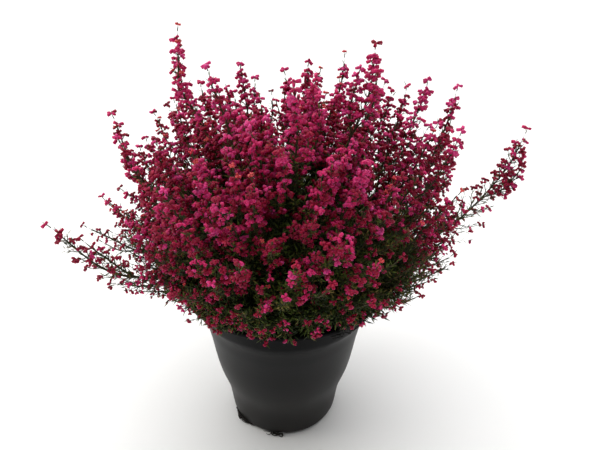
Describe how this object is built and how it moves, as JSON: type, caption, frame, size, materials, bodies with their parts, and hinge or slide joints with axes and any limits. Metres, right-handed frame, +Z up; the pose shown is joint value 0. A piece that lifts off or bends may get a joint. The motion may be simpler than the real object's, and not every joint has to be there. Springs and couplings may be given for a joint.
{
  "type": "potted bell heather",
  "caption": "Dark plastic nursery pot of compost with a short woody stem, curved boughs and a dome of upright heather sprays in crimson bell blossom.",
  "frame": {"origin": "centre of the pot's flat underside", "axes": "+Z up the stem, +X to the right and -Y towards the viewer of the picture"},
  "size_m": [0.285, 0.2298, 0.2838],
  "materials": {
    "pot_plastic": "moulded black polypropylene with a soft sheen",
    "compost": "dark damp peat compost",
    "bark": "grey brown flaking bark",
    "needles": "small dark green needle leaves",
    "blossom": "waxy crimson bell flowers"
  },
  "bodies": {
    "root": {"pot": "pot_plastic", "compost": "compost", "stem": "bark", "bough_crown_top": "bark", "bough_tall_left": "bark", "bough_upper_front_left": "bark", "bough_upper_front": "bark", "bough_upper_right": "bark", "bough_upper_back_right": "bark", "bough_upper_back_left": "bark", "bough_middle_left": "bark", "bough_middle_front_left": "bark", "bough_middle_front": "bark", "bough_middle_front_right": "bark", "bough_middle_right": "bark", "bough_middle_back_right": "bark", "bough_middle_back": "bark", "bough_middle_back_left": "bark", "bough_long_right": "bark", "bough_low_right": "bark", "bough_low_front_right": "bark", "bough_low_front": "bark", "bough_low_front_left": "bark", "bough_long_left": "bark", "bough_low_left": "bark", "bough_low_back_left": "bark", "bough_low_back": "bark", "bough_low_back_right": "bark", "foliage_crown_top": "blossom", "foliage_tall_left": "blossom", "foliage_upper_front_left": "blossom", "foliage_upper_front": "blossom", "foliage_upper_right": "blossom", "foliage_upper_back_right": "blossom", "foliage_upper_back_left": "blossom", "foliage_middle_left": "blossom", "foliage_middle_front_left": "blossom", "foliage_middle_front": "blossom", "foliage_middle_front_right": "blossom", "foliage_middle_right": "blossom", "foliage_middle_back_right": "blossom", "foliage_middle_back": "blossom", "foliage_middle_back_left": "blossom", "foliage_long_right": "blossom", "foliage_low_right": "blossom", "foliage_low_front_right": "blossom", "foliage_low_front": "blossom", "foliage_low_front_left": "blossom", "foliage_long_left": "blossom", "foliage_low_left": "blossom", "foliage_low_back_left": "blossom", "foliage_low_back": "blossom", "foliage_low_back_right": "blossom"}
  },
  "joints": []
}
